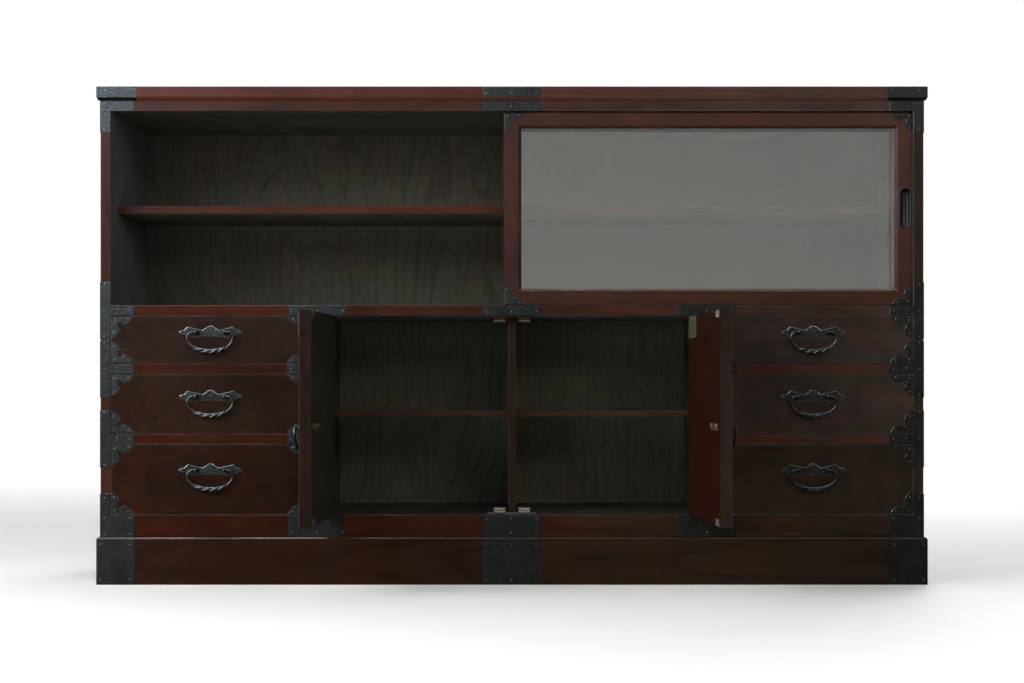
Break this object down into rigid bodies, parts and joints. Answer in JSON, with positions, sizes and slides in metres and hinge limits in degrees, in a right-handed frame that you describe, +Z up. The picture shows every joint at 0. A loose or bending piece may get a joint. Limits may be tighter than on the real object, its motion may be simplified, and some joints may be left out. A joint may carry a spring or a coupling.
{
  "type": "sideboard",
  "caption": "Long lacquered wooden sideboard with glazed sliding doors above, hinged doors between banks of drawers below, and iron straps and bail handles.",
  "frame": {"origin": "middle of the plinth's underside, on the floor", "axes": "+X to the right along the front, +Y to the back, +Z up; the front faces -Y"},
  "size_m": [1.65, 0.8206, 0.988],
  "materials": {
    "lacquered_zelkova": "dark red-brown wiped lacquer over bold grain, semi-gloss",
    "drawer_front_wood": "dark brown wiped lacquer over bold grain, semi-gloss",
    "drawer_box_wood": "plain pale wood, bare",
    "dark_inside_wood": "near-black brown lacquer, satin",
    "black_iron": "black hammered iron, worn pale on the edges",
    "clear_glass": "clear polished sheet",
    "catch_plastic": "dark brown moulded plastic",
    "steel_fittings": "dull plated steel"
  },
  "bodies": {
    "cabinet": {"back_panels": "dark_inside_wood", "bottom_board": "dark_inside_wood", "bottom_rail": "lacquered_zelkova", "carcass_irons": "black_iron", "catch_cases": "catch_plastic", "catch_poles": "steel_fittings", "centre_divider": "dark_inside_wood", "drawer_rails": "lacquered_zelkova", "drawer_runners": "drawer_box_wood", "head_board": "dark_inside_wood", "hinge_fixed_leaves": "steel_fittings", "lower_shelves": "dark_inside_wood", "mid_board": "dark_inside_wood", "partitions": "dark_inside_wood", "plinth": "lacquered_zelkova", "plinth_irons": "black_iron", "shelf_rests": "steel_fittings", "side_panel_left": "lacquered_zelkova", "side_panel_right": "lacquered_zelkova", "top_board": "lacquered_zelkova", "top_irons": "black_iron", "upper_shelf": "dark_inside_wood"},
    "door_left_bail": {"door_left_bail": "black_iron"},
    "door_left": {"door_left_board": "lacquered_zelkova", "door_left_hardware": "steel_fittings", "door_left_irons": "black_iron"},
    "door_right_bail": {"door_right_bail": "black_iron"},
    "door_right": {"door_right_board": "lacquered_zelkova", "door_right_hardware": "steel_fittings", "door_right_irons": "black_iron"},
    "drawer_left_bottom_bail": {"drawer_left_bottom_bail": "black_iron"},
    "drawer_left_bottom": {"drawer_left_bottom_box": "drawer_box_wood", "drawer_left_bottom_front": "drawer_front_wood", "drawer_left_bottom_irons": "black_iron"},
    "drawer_left_middle_bail": {"drawer_left_middle_bail": "black_iron"},
    "drawer_left_middle": {"drawer_left_middle_box": "drawer_box_wood", "drawer_left_middle_front": "drawer_front_wood", "drawer_left_middle_irons": "black_iron"},
    "drawer_left_top_bail": {"drawer_left_top_bail": "black_iron"},
    "drawer_left_top": {"drawer_left_top_box": "drawer_box_wood", "drawer_left_top_front": "drawer_front_wood", "drawer_left_top_irons": "black_iron"},
    "drawer_right_bottom_bail": {"drawer_right_bottom_bail": "black_iron"},
    "drawer_right_bottom": {"drawer_right_bottom_box": "drawer_box_wood", "drawer_right_bottom_front": "drawer_front_wood", "drawer_right_bottom_irons": "black_iron"},
    "drawer_right_middle_bail": {"drawer_right_middle_bail": "black_iron"},
    "drawer_right_middle": {"drawer_right_middle_box": "drawer_box_wood", "drawer_right_middle_front": "drawer_front_wood", "drawer_right_middle_irons": "black_iron"},
    "drawer_right_top_bail": {"drawer_right_top_bail": "black_iron"},
    "drawer_right_top": {"drawer_right_top_box": "drawer_box_wood", "drawer_right_top_front": "drawer_front_wood", "drawer_right_top_irons": "black_iron"},
    "sliding_door_front": {"sliding_door_front_frame": "lacquered_zelkova", "sliding_door_front_glass": "clear_glass", "sliding_door_front_irons": "black_iron"},
    "sliding_door_rear": {"sliding_door_rear_frame": "lacquered_zelkova", "sliding_door_rear_glass": "clear_glass", "sliding_door_rear_irons": "black_iron"}
  },
  "joints": [
    {"name": "sliding_door_front_slide", "type": "slide", "parent": "cabinet", "child": "sliding_door_front", "axis": [1, 0, 0], "range_m": [-0.78, 0]},
    {"name": "sliding_door_rear_slide", "type": "slide", "parent": "cabinet", "child": "sliding_door_rear", "axis": [1, 0, 0], "range_m": [-0.78, 0]},
    {"name": "door_left_hinge", "type": "hinge", "parent": "cabinet", "child": "door_left", "pos_m": [-0.3755, -0.2205, 0.32], "axis": [0, 0, 1], "range_deg": [-68, 92]},
    {"name": "door_right_hinge", "type": "hinge", "parent": "cabinet", "child": "door_right", "pos_m": [0.3755, -0.2205, 0.32], "axis": [0, 0, -1], "range_deg": [-66, 94]},
    {"name": "drawer_left_bottom_slide", "type": "slide", "parent": "cabinet", "child": "drawer_left_bottom", "axis": [0, -1, 0], "range_m": [0, 0.24]},
    {"name": "drawer_left_bottom_bail_swing", "type": "hinge", "parent": "drawer_left_bottom", "child": "drawer_left_bottom_bail", "pos_m": [-0.598, -0.2285, 0.2275], "axis": [-1, 0, 0], "range_deg": [0, 85]},
    {"name": "drawer_left_middle_slide", "type": "slide", "parent": "cabinet", "child": "drawer_left_middle", "axis": [0, -1, 0], "range_m": [0, 0.24]},
    {"name": "drawer_left_middle_bail_swing", "type": "hinge", "parent": "drawer_left_middle", "child": "drawer_left_middle_bail", "pos_m": [-0.598, -0.2285, 0.3735], "axis": [-1, 0, 0], "range_deg": [0, 85]},
    {"name": "drawer_left_top_slide", "type": "slide", "parent": "cabinet", "child": "drawer_left_top", "axis": [0, -1, 0], "range_m": [0, 0.34]},
    {"name": "drawer_left_top_bail_swing", "type": "hinge", "parent": "drawer_left_top", "child": "drawer_left_top_bail", "pos_m": [-0.598, -0.2285, 0.501], "axis": [-1, 0, 0], "range_deg": [0, 85]},
    {"name": "drawer_right_bottom_slide", "type": "slide", "parent": "cabinet", "child": "drawer_right_bottom", "axis": [0, -1, 0], "range_m": [0, 0.24]},
    {"name": "drawer_right_bottom_bail_swing", "type": "hinge", "parent": "drawer_right_bottom", "child": "drawer_right_bottom_bail", "pos_m": [0.598, -0.2285, 0.2275], "axis": [-1, 0, 0], "range_deg": [0, 85]},
    {"name": "drawer_right_middle_slide", "type": "slide", "parent": "cabinet", "child": "drawer_right_middle", "axis": [0, -1, 0], "range_m": [0, 0.24]},
    {"name": "drawer_right_middle_bail_swing", "type": "hinge", "parent": "drawer_right_middle", "child": "drawer_right_middle_bail", "pos_m": [0.598, -0.2285, 0.3735], "axis": [-1, 0, 0], "range_deg": [0, 85]},
    {"name": "drawer_right_top_slide", "type": "slide", "parent": "cabinet", "child": "drawer_right_top", "axis": [0, -1, 0], "range_m": [0, 0.34]},
    {"name": "drawer_right_top_bail_swing", "type": "hinge", "parent": "drawer_right_top", "child": "drawer_right_top_bail", "pos_m": [0.598, -0.2285, 0.501], "axis": [-1, 0, 0], "range_deg": [0, 85]},
    {"name": "door_left_bail_swing", "type": "hinge", "parent": "door_left", "child": "door_left_bail", "pos_m": [-0.3942, -0.52678, 0.32], "axis": [0.0349, 0.9994, 0], "range_deg": [0, 85]},
    {"name": "door_right_bail_swing", "type": "hinge", "parent": "door_right", "child": "door_right_bail", "pos_m": [0.40488, -0.52594, 0.32], "axis": [0.0698, -0.9976, 0], "range_deg": [0, 85]}
  ]
}
